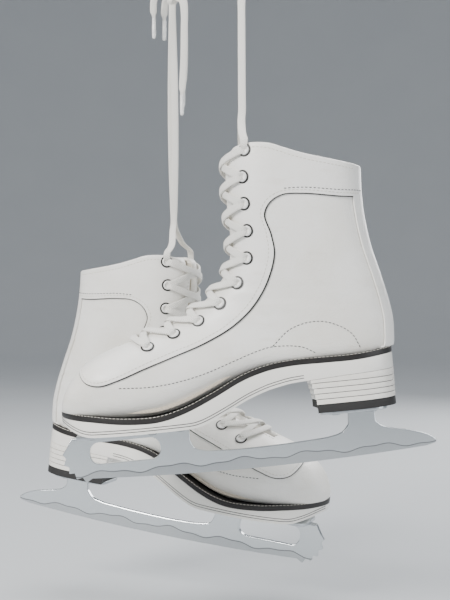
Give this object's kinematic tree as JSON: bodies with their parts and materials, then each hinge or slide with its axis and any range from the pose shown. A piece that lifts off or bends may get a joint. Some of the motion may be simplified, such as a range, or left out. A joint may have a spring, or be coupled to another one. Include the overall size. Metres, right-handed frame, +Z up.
{
  "type": "figure skates",
  "caption": "Pair of white leather figure skates hung by their laces, with stacked heels, steel blades and toe picks.",
  "frame": {"origin": "the top of the laces, where they lie over a peg or hook", "axes": "+Z up, -Y towards the outer side of the left skate, -X towards the left skate's toe"},
  "size_m": [0.3627, 0.2381, 0.5593],
  "materials": {
    "white_leather": "satin",
    "trim_leather": "satin",
    "lining": "matte",
    "board": "matte",
    "insole_board": "matte",
    "footbed": "matte",
    "welt": "satin",
    "outsole": "gloss",
    "heel_stack": "gloss",
    "heel_lift": "matte",
    "plate_steel": "satin",
    "blade_steel": "polished",
    "screw_steel": "satin",
    "lace": "matte",
    "aglet": "gloss"
  },
  "bodies": {
    "crest": {"aglet_long_front": "aglet", "aglet_long_rear": "aglet", "aglet_short_back": "aglet", "aglet_short_outer": "aglet", "crest_knot": "lace", "crest_laces": "lace", "lace_end_long_front": "lace", "lace_end_long_rear": "lace", "lace_end_short_back": "lace", "lace_end_short_outer": "lace"},
    "left_lace": {"left_strand_front": "lace", "left_strand_rear": "lace"},
    "right_lace": {"right_strand_front": "lace", "right_strand_rear": "lace"},
    "left_skate": {"left_back_stay": "trim_leather", "left_facing_inner": "trim_leather", "left_facing_outer": "trim_leather", "left_footbed": "footbed", "left_heel_block": "heel_stack", "left_heel_counter": "board", "left_heel_lift": "heel_lift", "left_heel_plate": "plate_steel", "left_heel_plate_screw_inner": "screw_steel", "left_heel_plate_screw_outer": "screw_steel", "left_insole": "insole_board", "left_lacing": "lace", "left_lining": "lining", "left_midsole": "welt", "left_outsole": "outsole", "left_runner": "blade_steel", "left_shank": "plate_steel", "left_sole_plate": "plate_steel", "left_sole_plate_screw_front": "screw_steel", "left_sole_plate_screw_rear": "screw_steel", "left_toe_puff": "board", "left_tongue": "white_leather", "left_upper": "white_leather"},
    "right_skate": {"right_back_stay": "trim_leather", "right_facing_inner": "trim_leather", "right_facing_outer": "trim_leather", "right_footbed": "footbed", "right_heel_block": "heel_stack", "right_heel_counter": "board", "right_heel_lift": "heel_lift", "right_heel_plate": "plate_steel", "right_heel_plate_screw_inner": "screw_steel", "right_heel_plate_screw_outer": "screw_steel", "right_insole": "insole_board", "right_lacing": "lace", "right_lining": "lining", "right_midsole": "welt", "right_outsole": "outsole", "right_runner": "blade_steel", "right_shank": "plate_steel", "right_sole_plate": "plate_steel", "right_sole_plate_screw_front": "screw_steel", "right_sole_plate_screw_rear": "screw_steel", "right_toe_puff": "board", "right_tongue": "white_leather", "right_upper": "white_leather"}
  },
  "joints": [
    {"name": "left_lace_swing", "type": "hinge", "parent": "crest", "child": "left_lace", "pos_m": [0.03, -0.032, -0.075], "axis": [0, 1, 0], "range_deg": [-20, 20]},
    {"name": "left_skate_tip", "type": "hinge", "parent": "left_lace", "child": "left_skate", "pos_m": [0.03, -0.066, -0.1793], "axis": [0, 1, 0], "range_deg": [-20, 20]},
    {"name": "right_lace_swing", "type": "hinge", "parent": "crest", "child": "right_lace", "pos_m": [-0.03, 0.032, -0.075], "axis": [0, 1, 0], "range_deg": [-20, 20]},
    {"name": "right_skate_tip", "type": "hinge", "parent": "right_lace", "child": "right_skate", "pos_m": [-0.03, 0.066, -0.26], "axis": [0, 1, 0], "range_deg": [-20, 20]}
  ]
}
